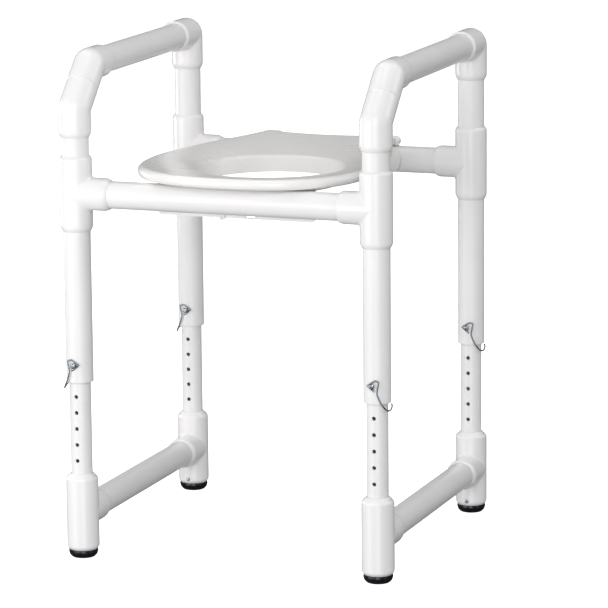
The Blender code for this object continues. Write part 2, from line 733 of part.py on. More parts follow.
def guard_plate_mesh():
    """The plate under the seat behind the front crossbar, about its own middle: x, then y from its centre."""
    half, cut = GUARD_HALF_WIDTH, GUARD_CHAMFER
    top = SEAT_UNDERSIDE_Z - GAP
    corners = [
        (-half, top),
        (-half, GUARD_BOTTOM_Z + cut),
        (-half + cut, GUARD_BOTTOM_Z),
        (half - cut, GUARD_BOTTOM_Z),
        (half, GUARD_BOTTOM_Z + cut),
        (half, top),
    ]
    plate = outline_mesh("plate", corners, GUARD_THICKNESS / 2)
    plate.transform(Matrix.Rotation(math.pi / 2, 4, "X"))
    front = -GUARD_THICKNESS / 2
    flange_low = (-half, front - GUARD_FLANGE, top - GUARD_THICKNESS)
    flange = helper(block_mesh("flange", flange_low, (half, 0, top)))
    slot_low = (GUARD_HOLE_X - SLOT_LENGTH / 2, -0.01, GUARD_HOLE_Z - SLOT_HEIGHT / 2)
    slot_high = (GUARD_HOLE_X + SLOT_LENGTH / 2, 0.01, GUARD_HOLE_Z + SLOT_HEIGHT / 2)
    slot = helper(block_mesh("slot", slot_low, slot_high))
    hole = rod_mesh("hole", GLIDE_SCREW_R + GAP, -0.01, 0.01, HOLE_SIDES)
    hole_at = helper(hole, (-GUARD_HOLE_X, 0, GUARD_HOLE_Z), (math.pi / 2, 0, 0))
    return combine("guard_plate", plate, join=[flange], cut=[slot, hole_at])


def add_seat():
    place("seat", seat_mesh(), SEAT_WHITE, (SEAT_X, 0, 0))
    place("guard_plate", guard_plate_mesh(), SEAT_WHITE, (SEAT_X, GUARD_Y, 0))
    knob = screw_mesh(KNOB_R, GLIDE_SCREW_R, GUARD_THICKNESS + 0.002)
    face = (SEAT_X - GUARD_HOLE_X, GUARD_Y - GUARD_THICKNESS / 2, GUARD_HOLE_Z)
    place("guard_knob", knob, SEAT_WHITE, face, (math.pi / 2, 0, 0))


def add_hinges():
    """A clamp and a hinge pin on each side of the seat's back edge, on the back crossbar."""
    clamp = hinge_clamp_mesh()
    pin = rod_mesh("hinge_pin", HINGE_PIN_R, -CLAMP_HALF + 0.0008, CLAMP_HALF - 0.0008, SMALL_SIDES)
    across = (0, math.pi / 2, 0)
    axis = hinge_axis()
    for side, x in (("left", SEAT_X - HINGE_X), ("right", SEAT_X + HINGE_X)):
        place(f"hinge_clamp_{side}", clamp, SEAT_WHITE, (x, BACK_Y, SEAT_RAIL_Z))
        place(f"hinge_pin_{side}", pin, STEEL, (x, axis.y, axis.z), across)


clear_scene()
PARTS = make_collection(SEAT_NAME)
HELPERS = make_collection("helpers")
PVC = make_material("pvc_white", (0.86, 0.85, 0.84), 0.28)
SEAT_WHITE = make_material("seat_white", (0.84, 0.84, 0.84), 0.22)
BLACK = make_material("glide_black", (0.02, 0.02, 0.022), 0.4)
STEEL = make_material("steel", (0.50, 0.53, 0.56), 0.3, 1.0)
add_fixed_frame()
add_leg_units()
add_lock_pins()
add_seat()
add_hinges()
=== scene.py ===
"""Looks of the raised toilet seat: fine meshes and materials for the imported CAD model, and a studio.

Everything is in metres in the row frame: +Z up, the front of the seat faces -Y.
"""

import json
import math

import bmesh
import bpy
import numpy as np
from mathutils import Matrix, Vector


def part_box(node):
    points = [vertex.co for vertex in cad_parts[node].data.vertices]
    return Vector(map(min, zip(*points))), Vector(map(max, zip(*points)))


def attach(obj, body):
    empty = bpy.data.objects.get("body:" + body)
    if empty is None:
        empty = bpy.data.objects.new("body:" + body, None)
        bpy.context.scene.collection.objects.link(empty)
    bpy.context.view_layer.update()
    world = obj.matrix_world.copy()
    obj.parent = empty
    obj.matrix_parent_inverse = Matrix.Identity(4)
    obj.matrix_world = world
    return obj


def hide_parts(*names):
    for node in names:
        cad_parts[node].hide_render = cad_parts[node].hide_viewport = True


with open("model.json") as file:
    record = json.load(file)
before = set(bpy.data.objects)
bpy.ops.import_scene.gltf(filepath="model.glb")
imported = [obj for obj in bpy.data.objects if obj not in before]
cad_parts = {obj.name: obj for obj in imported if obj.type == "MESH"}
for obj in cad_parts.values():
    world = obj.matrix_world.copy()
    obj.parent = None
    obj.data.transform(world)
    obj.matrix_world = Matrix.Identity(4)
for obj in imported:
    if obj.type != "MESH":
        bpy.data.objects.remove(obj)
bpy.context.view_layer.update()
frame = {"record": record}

RECORD = frame["record"]
BODY_OF = {node: body for body, nodes in RECORD["behaviour"]["bodies"].items() for node in nodes}
SIDES = ("left", "right")
ENDS = ("front", "back")
QUARTER = math.pi / 2
SHARP_ANGLE = math.radians(38)  # edges that turn more than this stay sharp


def middle(node):
    low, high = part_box(node)
    return (low + high) / 2


def half_size(node):
    low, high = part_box(node)
    return (high - low) / 2


# Driving sizes, from the CAD nodes where they show them
POST_X = {side: middle(f"outer_leg_front_{side}").x for side in SIDES}
POST_Y = {end: middle(f"outer_leg_{end}_left").y for end in ENDS}
SEAT_RAIL_Z = middle("front_crossbar").z
ARM_Z = middle("arm_rail_left").z
BRACE_Z = middle("side_brace_left").z
PIN_Z = middle("lock_pin_front_left").z
PIPE_R = half_size("front_crossbar").z
LEG_R = half_size("inner_leg_front_left").x
HUB_R = half_size("front_elbow_lower_left").x
TEE_HALF = half_size("seat_tee_front_left").z
PIPE_BORE_R = 0.01755
LEG_BORE_R = 0.0133
SOCKET_R = PIPE_R + 0.0003
SOCKET_DEPTH = 0.032
ELBOW_90_LEG = middle("outer_leg_back_left").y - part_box("back_elbow_left")[0].y
ELBOW_45_LEG = (ARM_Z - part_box("front_elbow_lower_left")[0].z) / (1 + math.sqrt(2))
ELBOW_45_SOCKET = 0.028
SPIGOT_LENGTH = 0.0265
ELBOW_BEND = 0.004
HOLE_PITCH = 0.0254
HOLE_R = 0.0032
HOLE_STEPS = range(-6, 2)

# Shape of the moulded fittings' ends
LIP_DROP = 0.0033  # how much thinner a fitting is at its mouth
LIP_POWER = 2.3
LIP_EDGE = 0.0005
LIP_LONG = 0.0105
LIP_SHORT = 0.0065
CROTCH_R = 0.0042  # fillet between a tee's run and its branch
CREASE_R = 0.0022  # fillet on the inside of an elbow

ROUND = 96  # sides of a pipe or a fitting
WELD = 0.0000015  # points this close become one


# Mesh tools


def shade(mesh, angle=SHARP_ANGLE):
    """Shades a mesh smooth, apart from its sharp edges."""
    mesh.shade_smooth()
    mesh.set_sharp_from_angle(angle=angle)


def finish_mesh(mesh):
    """Welds coinciding points, turns the faces outwards and shades the mesh smooth."""
    shape = bmesh.new()
    shape.from_mesh(mesh)
    bmesh.ops.remove_doubles(shape, verts=shape.verts, dist=WELD)
    bmesh.ops.recalc_face_normals(shape, faces=shape.faces)
    shape.to_mesh(mesh)
    shape.free()
    shade(mesh)
    return mesh


def grids_mesh(name, grids):
    """One closed mesh from grids of points: each has its rows joined, and shared edges are welded."""
    points, faces = [], []
    for grid in grids:
        start, rows, columns = len(points), len(grid), len(grid[0])
        for row in grid:
            points.extend(row)
        for i in range(rows - 1):
            for j in range(columns - 1):
                a = start + i * columns + j
                faces.append((a, a + 1, a + columns + 1, a + columns))
    mesh = bpy.data.meshes.new(name)
    mesh.from_pydata([tuple(point) for point in points], [], faces)
    return finish_mesh(mesh)


def lathe(name, profile, sides=ROUND):
    """A turned shape about Z from (radius, z) points."""
    grid = []
    for k in range(sides + 1):
        turn = 2 * math.pi * (k % sides) / sides
        grid.append([(r * math.cos(turn), r * math.sin(turn), z) for r, z in profile])
    return grids_mesh(name, [grid])


def rounded(corners, steps=5):
    """(a, b) points of a line through (a, b, radius) corners, with an arc at each rounded corner."""
    points = []
    for i, (a, b, radius) in enumerate(corners):
        if not radius:
            points.append((a, b))
            continue
        here = Vector((a, b))
        before = (Vector(corners[i - 1][:2]) - here).normalized()
        after = (Vector(corners[(i + 1) % len(corners)][:2]) - here).normalized()
        half = before.angle(after) / 2
        centre = here + (before + after).normalized() * (radius / math.sin(half))
        start = (here + before * (radius / math.tan(half)) - centre).normalized()
        end = (here + after * (radius / math.tan(half)) - centre).normalized()
        for k in range(steps + 1):
            points.append(tuple(centre + start.slerp(end, k / steps) * radius))
    return points


def turned_copy(mesh, location=(0, 0, 0), rotation=(0, 0, 0)):
    """A copy of a mesh in its own place in the row frame."""
    copy = mesh.copy()
    turn = Matrix.Rotation(rotation[2], 4, "Z") @ Matrix.Rotation(rotation[1], 4, "Y")
    copy.transform(Matrix.Translation(location) @ turn @ Matrix.Rotation(rotation[0], 4, "X"))
    return copy


def boolean_mesh(name, base, join=(), cut=()):
    """The base mesh with some meshes joined to it and others then cut from it."""
    scene = bpy.context.scene.collection
    made = []

    def temporary(mesh):
        obj = bpy.data.objects.new("temporary", mesh)
        scene.objects.link(obj)
        made.append(obj)
        return obj

    main = temporary(base)
    for meshes, operation in ((join, "UNION"), (cut, "DIFFERENCE")):
        for mesh in meshes:
            modifier = main.modifiers.new(operation, "BOOLEAN")
            modifier.object = temporary(mesh)
            modifier.operation = operation
            modifier.solver = "EXACT"
    graph = bpy.context.evaluated_depsgraph_get()
    result = bpy.data.meshes.new_from_object(main.evaluated_get(graph))
    result.name = name
    for obj in made:
        bpy.data.objects.remove(obj)
    result.materials.clear()
    return result


def bevelled(mesh, width, segments):
    """The mesh with its sharp edges rounded."""
    obj = bpy.data.objects.new("temporary", mesh)
    bpy.context.scene.collection.objects.link(obj)
    bevel = obj.modifiers.new("Bevel", "BEVEL")
    bevel.width = width
    bevel.segments = segments
    bevel.limit_method = "ANGLE"
    bevel.angle_limit = math.radians(35)
    graph = bpy.context.evaluated_depsgraph_get()
    result = bpy.data.meshes.new_from_object(obj.evaluated_get(graph))
    bpy.data.objects.remove(obj)
    shade(result, math.radians(50))
    return result


def prism(name, outline, low, high):
    """A straight bar along X between low and high, whose section is a closed outline of (y, z) points."""
    mesh = bpy.data.meshes.new(name)
    shape = bmesh.new()
    start = [shape.verts.new((low, y, z)) for y, z in outline]
    end = [shape.verts.new((high, y, z)) for y, z in outline]
    shape.faces.new(start)
    shape.faces.new(reversed(end))
    for i in range(len(outline)):
        j = (i + 1) % len(outline)
        shape.faces.new((start[i], end[i], end[j], start[j]))
    bmesh.ops.recalc_face_normals(shape, faces=shape.faces)
    shape.to_mesh(mesh)
    shape.free()
    return mesh


def sweep(name, points, radius):
    """A round wire along smooth points, with domed ends."""
    sides, cap_steps = 16, 4
    points = [Vector(point) for point in points]
    tangents = []
    for i in range(len(points)):
        ahead, behind = points[min(i + 1, len(points) - 1)], points[max(i - 1, 0)]
        tangents.append((ahead - behind).normalized())
    side = tangents[0].orthogonal().normalized()
    turns = [QUARTER * k / cap_steps for k in range(cap_steps + 1)]
    dome = [(math.sin(turn), math.cos(turn)) for turn in turns]
    rings = []
    for i, (point, tangent) in enumerate(zip(points, tangents)):
        side = (side - tangent * side.dot(tangent)).normalized()
        other = tangent.cross(side)
        steps = [(0.0, 1.0)]
        if i == 0:
            steps = [(-along, width) for along, width in reversed(dome)]
        if i == len(points) - 1:
            steps = dome
        for along, width in steps:
            centre = point + tangent * (along * radius)
            ring = []
            for k in range(sides + 1):
                turn = 2 * math.pi * (k % sides) / sides
                way = side * math.cos(turn) + other * math.sin(turn)
                ring.append(centre + way * (width * radius))
            rings.append(ring)
    return grids_mesh(name, [rings])


def smooth_route(points):
    """Points on a smooth curve through the given ones (Catmull-Rom)."""
    steps = 6
    points = [Vector(point) for point in points]
    line = [points[0] * 2 - points[1], *points, points[-1] * 2 - points[-2]]
    route = []
    for i in range(1, len(line) - 2):
        a, b, c, d = line[i - 1 : i + 3]
        for k in range(steps):
            t = k / steps
            square, cube = 2 * a - 5 * b + 4 * c - d, 3 * b - a - 3 * c + d
            route.append(0.5 * (2 * b + (c - a) * t + square * t**2 + cube * t**3))
    route.append(points[-1])
    return route


def add_piece(node, mesh, material):
    """The fine piece that stands for a CAD node, on the same body and in the same material slot."""
    obj = bpy.data.objects.new(f"{node}_fine", mesh)
    bpy.context.scene.collection.objects.link(obj)
    mesh.materials.clear()
    mesh.materials.append(material)
    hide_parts(node)
    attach(obj, BODY_OF[node])
    return obj


# Fittings


def mouth(face, lip_length, depth=SOCKET_DEPTH):
    """(radius, distance) points from the floor of a socket, up its wall and over its lip to the body."""
    edge_r = HUB_R - LIP_DROP
    points = [(0, face - depth), (SOCKET_R * 0.5, face - depth), (SOCKET_R, face - depth)]
    points.append((SOCKET_R, face - LIP_EDGE))
    points.append((SOCKET_R + LIP_EDGE * 0.6, face))
    for k in range(4):
        turn = QUARTER * k / 3
        radius = edge_r - LIP_EDGE * (1 - math.sin(turn))
        points.append((radius, face - LIP_EDGE * (1 - math.cos(turn))))
    steps = 12
    for k in range(1, steps + 1):
        way = (k / steps) ** 1.3
        radius = HUB_R - LIP_DROP * (1 - way) ** LIP_POWER
        points.append((radius, face - LIP_EDGE - (lip_length - LIP_EDGE) * way))
    return points


def spigot(face):
    """(radius, distance) points from the end of a spigot, along it and over the fitting's shoulder."""
    end = face + SPIGOT_LENGTH
    shoulder = 0.0012
    points = [(0, end), (PIPE_R * 0.5, end), (PIPE_R - 0.001, end), (PIPE_R, end - 0.001)]
    points.append((PIPE_R, face))
    for k in range(5):
        turn = QUARTER * k / 4
        radius = HUB_R - 0.0003 - shoulder * (1 - math.sin(turn))
        points.append((radius, face - shoulder * (1 - math.cos(turn))))
    points.append((HUB_R, face - 0.008))
    return points


def seam(face, depth):
    """(radius, distance) points of a blunt mouth that another fitting butts against."""
    edge = 0.0011
    points = [(0, face - depth), (SOCKET_R * 0.5, face - depth), (SOCKET_R, face - depth)]
    points.append((SOCKET_R, face))
    for k in range(5):
        turn = QUARTER * k / 4
        points.append((HUB_R - edge * (1 - math.sin(turn)), face - edge * (1 - math.cos(turn))))
    points.append((HUB_R, face - 0.006))
    return points


def spread(start, end, steps):
    """The values after start on an even way to end."""
    return [start + (end - start) * k / steps for k in range(1, steps + 1)]


def tee_mesh(name, top_lip, bottom_lip, branch_lip=LIP_LONG):
    """A tee with its run along Z and its branch along +X, filleted where they meet.

    Across the meeting, each line of points stays in one plane, down the run and then out along the branch.
    """
    straight, bend, half = 9, 8, ROUND // 2
    branch = mouth(TEE_HALF, branch_lip)

    def strand(turn, run):
        c, s = math.cos(turn), math.sin(turn)
        reach, fillet = HUB_R * c, CROTCH_R * abs(c) ** 1.5
        line = [(r * c, r * s, h) for r, h in run]
        line += [(reach, HUB_R * s, z) for z in spread(run[-1][1], reach + fillet, straight)]
        for k in range(1, bend + 1):
            a = QUARTER * k / bend
            x, z = reach + fillet * (1 - math.cos(a)), reach + fillet * (1 - math.sin(a))
            line.append((x, HUB_R * s, z))
        line += [(x, HUB_R * s, reach) for x in spread(reach + fillet, branch[-1][1], straight)]
        line += [(h, r * s, r * c) for r, h in reversed(branch[:-1])]
        return line

    grids = []
    for run, flip in ((mouth(TEE_HALF, top_lip), 1), (mouth(TEE_HALF, bottom_lip), -1)):
        turns = [math.pi * i / half - QUARTER for i in range(half + 1)]
        grids.append([[(x, y, z * flip) for x, y, z in strand(turn, run)] for turn in turns])
    top, bottom = mouth(TEE_HALF, top_lip), mouth(TEE_HALF, bottom_lip)
    line = top + [(HUB_R, z) for z in spread(top[-1][1], 0, straight)]
    under = bottom + [(HUB_R, z) for z in spread(bottom[-1][1], 0, straight)]
    line += [(r, -z) for r, z in reversed(under[:-1])]
    turns = [math.pi * i / half + QUARTER for i in range(half + 1)]
    grids.append([[(r * math.cos(t), r * math.sin(t), z) for r, z in line] for t in turns])
    return grids_mesh(name, grids)


def elbow_mesh(name, face, angle, low, high):
    """An elbow that comes up the Z axis and turns towards +Y, nearly a ball outside and a mitre inside."""
    straight, bend = 8, 20 if angle > 1 else 12
    along = Vector((0, math.sin(angle), math.cos(angle)))
    outward = Vector((0, -math.cos(angle), math.sin(angle)))
    grid = []
    for k in range(ROUND + 1):
        around = 2 * math.pi * (k % ROUND) / ROUND
        c, s = math.cos(around), math.sin(around)
        out = HUB_R * c
        past = ELBOW_BEND + out - CREASE_R
        reach = CREASE_R + (past + math.hypot(past, 0.002)) / 2
        back = (reach - out) * math.tan(angle / 2)
        line = [Vector((r * s, -r * c, -h)) for r, h in low]
        line += [Vector((HUB_R * s, -out, z)) for z in spread(-low[-1][1], -back, straight)]
        for i in range(1, bend + 1):
            turn = angle * i / bend
            y, z = reach - out - reach * math.cos(turn), reach * math.sin(turn) - back
            line.append(Vector((HUB_R * s, y, z)))
        for h in spread(back, high[-1][1], straight):
            line.append(Vector((HUB_R * s, 0, 0)) + outward * out + along * h)
        line += [Vector((r * s, 0, 0)) + outward * (r * c) + along * h for r, h in reversed(high[:-1])]
        grid.append(line)
    return grids_mesh(name, [grid])


def add_tees(material):
    upper = tee_mesh("upper_tee", LIP_SHORT, LIP_LONG)
    lower = tee_mesh("lower_tee", LIP_SHORT, LIP_SHORT)
    for side in SIDES:
        for end in ENDS:
            x, y = POST_X[side], POST_Y[end]
            turn = 0 if side == "left" else math.pi
            node = f"seat_tee_{end}_{side}"
            add_piece(node, turned_copy(upper, (x, y, SEAT_RAIL_Z), (0, 0, turn)), material)
            turn = QUARTER if end == "front" else -QUARTER
            mesh = turned_copy(lower, (x, y, BRACE_Z), (0, 0, turn))
            add_piece(f"lower_tee_{end}_{side}", mesh, material)


def add_elbows(material):
    eighth = QUARTER / 2
    long_mouth = mouth(ELBOW_45_LEG, LIP_LONG, ELBOW_45_SOCKET)
    tight_mouth = mouth(ELBOW_45_LEG, LIP_SHORT, ELBOW_45_SOCKET)
    seam_mouth = seam(ELBOW_45_LEG, ELBOW_45_SOCKET)
    lower = elbow_mesh("lower_elbow", ELBOW_45_LEG, eighth, long_mouth, seam_mouth)
    upper = elbow_mesh("upper_elbow", ELBOW_45_LEG, eighth, spigot(ELBOW_45_LEG), tight_mouth)
    ends = (mouth(ELBOW_90_LEG, LIP_LONG), mouth(ELBOW_90_LEG, LIP_SHORT))
    corner = elbow_mesh("corner_elbow", ELBOW_90_LEG, QUARTER, *ends)
    rise = math.sqrt(2) * ELBOW_45_LEG
    for side in SIDES:
        x = POST_X[side]
        low_spot, high_spot = (x, POST_Y["front"], ARM_Z - rise), (x, POST_Y["front"] + rise, ARM_Z)
        add_piece(f"front_elbow_lower_{side}", turned_copy(lower, low_spot), material)
        add_piece(f"front_elbow_upper_{side}", turned_copy(upper, high_spot, (-eighth, 0, 0)), material)
        mesh = turned_copy(corner, (x, POST_Y["back"], ARM_Z), (0, 0, math.pi))
        add_piece(f"back_elbow_{side}", mesh, material)


# Pipes


def tube_profile(radius, bore, length, rows):
    """The closed section of a pipe from z = 0, with eased edges, in as many rows as asked."""
    ease = 0.0006
    outer = [(radius, z) for z in np.linspace(length - ease, ease, rows + 1)]
    inner = [(bore, z) for z in np.linspace(ease, length - ease, rows + 1)]
    section = [(radius - ease, length), *outer, (radius - ease, 0), (bore + ease, 0), *inner]
    return section + [(bore + ease, length), (radius - ease, length)]


def pipe_piece(node, bore, material, holes=(), rows=1):
    """The fine pipe of a straight CAD pipe, with any lock pin holes drilled through it along Y."""
    low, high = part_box(node)
    size = high - low
    axis = max(range(3), key=lambda i: size[i])
    radius = size[(axis + 1) % 3] / 2
    mesh = lathe(node, tube_profile(radius, bore, size[axis], rows))
    turn = {0: (0, QUARTER, 0), 1: (-QUARTER, 0, 0), 2: (0, 0, 0)}[axis]
    start = (low + high) / 2
    start[axis] = low[axis]
    mesh = turned_copy(mesh, start, turn)
    if holes:
        drill = lathe("drill", [(0, HUB_R), (HOLE_R, HUB_R), (HOLE_R, -HUB_R), (0, -HUB_R)], 24)
        cutters = [turned_copy(drill, (start.x, start.y, z), (QUARTER, 0, 0)) for z in holes]
        mesh = boolean_mesh(node, mesh, cut=cutters)
        shade(mesh)
    return add_piece(node, mesh, material)


def add_pipes(material):
    for end in ENDS:
        pipe_piece(f"{end}_crossbar", PIPE_BORE_R, material)
    for side in SIDES:
        pipe_piece(f"arm_rail_{side}", PIPE_BORE_R, material)
        pipe_piece(f"side_brace_{side}", PIPE_BORE_R, material)
        for end in ENDS:
            pipe_piece(f"{end}_post_{side}", PIPE_BORE_R, material)
            pipe_piece(f"outer_leg_{end}_{side}", PIPE_BORE_R, material, [PIN_Z], 30)
            holes = [PIN_Z + HOLE_PITCH * step for step in HOLE_STEPS]
            pipe_piece(f"inner_leg_{end}_{side}", LEG_BORE_R, material, holes, 40)


def add_bushings(material):
    """The tapered collars between the lower tees and the thinner legs."""
    low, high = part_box("leg_bushing_front_left")
    face = BRACE_Z + TEE_HALF
    bore = LEG_R + 0.0003
    section = [
        (bore, high.z, 0.0003),
        (bore + 0.0013, high.z, 0.0005),
        (PIPE_R - 0.0002, face + 0.0004, 0.0003),
        (PIPE_R, face - 0.0002, 0),
        (PIPE_R, low.z, 0.0003),
        (bore, low.z, 0.0003),
    ]
    points = rounded(section, 3)
    mesh = lathe("leg_bushing", points + points[:1])
    for side in SIDES:
        for end in ENDS:
            node = f"leg_bushing_{end}_{side}"
            add_piece(node, turned_copy(mesh, (POST_X[side], POST_Y[end], 0)), material)


# Feet


def add_glides(black, steel):
    """The black domed feet and the screws that hold them in the lower tees."""
    low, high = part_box("glide_foot_front_left")
    radius = (high.x - low.x) / 2
    face = BRACE_Z - TEE_HALF
    section = [
        (0, high.z, 0),
        (PIPE_R, high.z, 0.001),
        (PIPE_R, face - 0.0003, 0),
        (radius - 0.0006, face - 0.0003, 0.0006),
        (radius, 0.0100, 0.002),
        (radius - 0.0016, 0.0050, 0.004),
        (radius - 0.0052, 0.0014, 0.003),
        (0.0130, 0.0001, 0.002),
        (0.0105, 0, 0),
        (0, 0, 0),
    ]
    foot = lathe("glide_foot", rounded(section, 6))
    screw = screw_mesh(0.0032)
    for side in SIDES:
        for end in ENDS:
            x, y = POST_X[side], POST_Y[end]
            add_piece(f"glide_foot_{end}_{side}", turned_copy(foot, (x, y, 0)), black)
            node = f"glide_screw_{end}_{side}"
            spot = middle(node)
            inward = 1 if end == "front" else -1
            spot.y = y + inward * (HUB_R + 0.0002)
            add_piece(node, turned_copy(screw, spot, (-inward * QUARTER, 0, 0)), steel)


def screw_mesh(head, length=0.008):
    """A pan-head screw about Z with a cross recess; its head stands on z = 0."""
    section = [(0, 0.0019, 0), (head * 0.75, 0.0018, 0.0008), (head, 0.0006, 0.0004), (head, 0, 0.0002)]
    section += [(0.0016, 0, 0), (0.0016, -length, 0.0004), (0, -length, 0)]
    mesh = lathe("screw", rounded(section, 4), 32)
    slots = []
    for long, wide in ((head * 0.6, head * 0.13), (head * 0.13, head * 0.6)):
        shape = bmesh.new()
        bmesh.ops.create_cube(shape, size=2.0)
        bmesh.ops.scale(shape, vec=(long, wide, 0.0012), verts=shape.verts)
        bmesh.ops.translate(shape, vec=(0, 0, 0.0021), verts=shape.verts)
        slot = bpy.data.meshes.new("slot")
        shape.to_mesh(slot)
        shape.free()
        slots.append(slot)
    mesh = boolean_mesh("screw", mesh, cut=slots)
    shade(mesh)
    return mesh


# Lock pins and clips

EYE_Y = -0.0231  # plane of the clip's eye, from the leg's axis
WIRE_R = 0.00115


def add_lock_pins(steel, wire):
    low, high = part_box("lock_pin_front_left")
    centre_y = POST_Y["front"]
    tip, head = high.y - centre_y, low.y - centre_y
    neck_front, neck_back = EYE_Y - 0.0018, EYE_Y + 0.0017
    section = [
        (0, tip, 0),
        (0.0021, tip, 0.0008),
        (0.0030, tip - 0.0022, 0.0012),
        (0.0030, neck_back, 0.0003),
        (0.0022, neck_back - 0.0002, 0),
        (0.0022, neck_front + 0.0002, 0),
        (0.0042, neck_front, 0.0004),
        (0.0042, head + 0.0010, 0.0008),
        (0.0026, head, 0.0010),
        (0, head, 0),
    ]
    pin = lathe("lock_pin", rounded(section, 4), 40)
    route = [
        (0.0028, EYE_Y, -0.0079),
        (-0.0068, EYE_Y, -0.0002),
        (-0.0075, EYE_Y, 0.0012),
        (-0.0062, EYE_Y, 0.0022),
        (0.0036, EYE_Y, 0.0082),
        (0.0085, EYE_Y, 0.0076),
        (0.0100, EYE_Y, 0.0055),
        (0.0074, EYE_Y, -0.0081),
        (0.0080, EYE_Y, -0.0132),
        (0.0115, -0.0218, -0.0228),
        (0.0152, -0.0198, -0.0300),
        (0.0190, -0.0158, -0.0360),
        (0.0216, -0.0105, -0.0386),
        (0.0229, -0.0040, -0.0378),
        (0.0226, 0.0020, -0.0350),
        (0.0208, 0.0075, -0.0330),
        (0.0188, 0.0108, -0.0325),
    ]
    for side in SIDES:
        outward = 1 if side == "right" else -1
        clip = sweep("wire_clip", smooth_route([(outward * x, y, z) for x, y, z in route]), WIRE_R)
        for end in ENDS:
            spot = (POST_X[side], POST_Y[end], PIN_Z)
            add_piece(f"lock_pin_{end}_{side}", turned_copy(pin, spot, (-QUARTER, 0, 0)), steel)
            add_piece(f"wire_clip_{end}_{side}", turned_copy(clip, spot), wire)


# Seat

SEAT_LOW, SEAT_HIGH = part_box("seat")
SEAT_X = (SEAT_LOW.x + SEAT_HIGH.x) / 2
SEAT_HALF_WIDTH = (SEAT_HIGH.x - SEAT_LOW.x) / 2
SEAT_FRONT_Y = SEAT_LOW.y
SHIFT_Y = SEAT_FRONT_Y + 0.2720
SEAT_WIDEST_Y = SHIFT_Y - 0.085
SEAT_REAR_Y = SHIFT_Y + 0.2070
SEAT_REAR_HALF_WIDTH = 0.1085
SEAT_CORNER_R = 0.010
SEAT_NOSE_POWER = 2.45
SEAT_SIDE_POWER = 1.57
SEAT_UNDERSIDE_Z = 0.5988
SEAT_REAR_RISE = 0.0022
SEAT_REAR_DIP = 0.0033
SEAT_CREST_Z = SEAT_HIGH.z - SEAT_REAR_RISE
SEAT_CREASE_FRONT_Z = 0.6035
SEAT_CREASE_BACK_Z = 0.5985
SEAT_WALL_RUN = 0.0118
SEAT_EDGE = 0.0068  # how far in the rim's rounding reaches
SEAT_EDGE_STEPS = 14
SEAT_DISH_STEPS = 24
SEAT_LIP_FALL = 0.002  # how much lower the lip is at the back
EASE_REACH = 0.022  # along the edge, of the smoothing that eases the dish
EASE_STEPS = 9
SEAT_LIP_Z = SEAT_LOW.z
OPENING_Y = SHIFT_Y - 0.054
OPENING_HALF_WIDTH = 0.104
OPENING_HALF_LENGTH = 0.113
HINGE_AXIS = Vector((0, *middle("hinge_pin_left").yz))
HINGE_XS = [middle(f"hinge_pin_{side}").x for side in SIDES]


def seat_outline():
    """(x, y) points and inward normals round the seat's edge, about its centre line."""
    nose = SEAT_WIDEST_Y - SEAT_FRONT_Y
    tail = SEAT_REAR_Y - SEAT_CORNER_R - SEAT_WIDEST_Y
    half = []
    for i in range(61):
        turn = QUARTER * i / 60
        across = math.sin(turn) ** (2 / SEAT_NOSE_POWER)
        along = max(math.cos(turn), 0) ** (2 / SEAT_NOSE_POWER)
        half.append((SEAT_HALF_WIDTH * across, SEAT_WIDEST_Y - nose * along))
    for i in range(1, 49):
        way = i / 48
        narrowing = (SEAT_HALF_WIDTH - SEAT_REAR_HALF_WIDTH) * way**SEAT_SIDE_POWER
        half.append((SEAT_HALF_WIDTH - narrowing, SEAT_WIDEST_Y + tail * way))
    for i in range(1, 13):
        turn = QUARTER * i / 12
        x = SEAT_REAR_HALF_WIDTH - SEAT_CORNER_R * (1 - math.cos(turn))
        half.append((x, SEAT_REAR_Y - SEAT_CORNER_R * (1 - math.sin(turn))))
    for i in range(1, 13):
        half.append(((SEAT_REAR_HALF_WIDTH - SEAT_CORNER_R) * (1 - i / 12), SEAT_REAR_Y))
    points = half + [(-x, y) for x, y in reversed(half[1:-1])]
    normals = []
    for i in range(len(points)):
        before, after = Vector(points[i - 1]), Vector(points[(i + 1) % len(points)])
        way = (after - before).normalized()
        normals.append(Vector((-way.y, way.x)))
    return [Vector(point) for point in points], normals


def opening_point(x, y):
    """The point of the oval opening that lies in the same direction from its centre as (x, y)."""
    turn = math.atan2(y - OPENING_Y, x)
    reach = 1 / math.hypot(math.cos(turn) / OPENING_HALF_WIDTH, math.sin(turn) / OPENING_HALF_LENGTH)
    return Vector((reach * math.cos(turn), OPENING_Y + reach * math.sin(turn)))


def crest_z(x, y):
    """Height of the seat's rim, which rises to the back corners and dips between them."""
    back = min(max((y - SEAT_REAR_Y) / 0.08 + 1, 0), 1) ** 2
    dip = SEAT_REAR_DIP * max(1 - (x / SEAT_REAR_HALF_WIDTH) ** 2, 0)
    return SEAT_CREST_Z + back * (SEAT_REAR_RISE - dip)


def curve_between(start, corner, end, steps):
    """Points of the curve that rounds a corner, after its start."""
    start, corner, end = Vector(start), Vector(corner), Vector(end)
    ways = [k / steps for k in range(1, steps + 1)]
    return [tuple(start.lerp(corner, way).lerp(corner.lerp(end, way), way)) for way in ways]


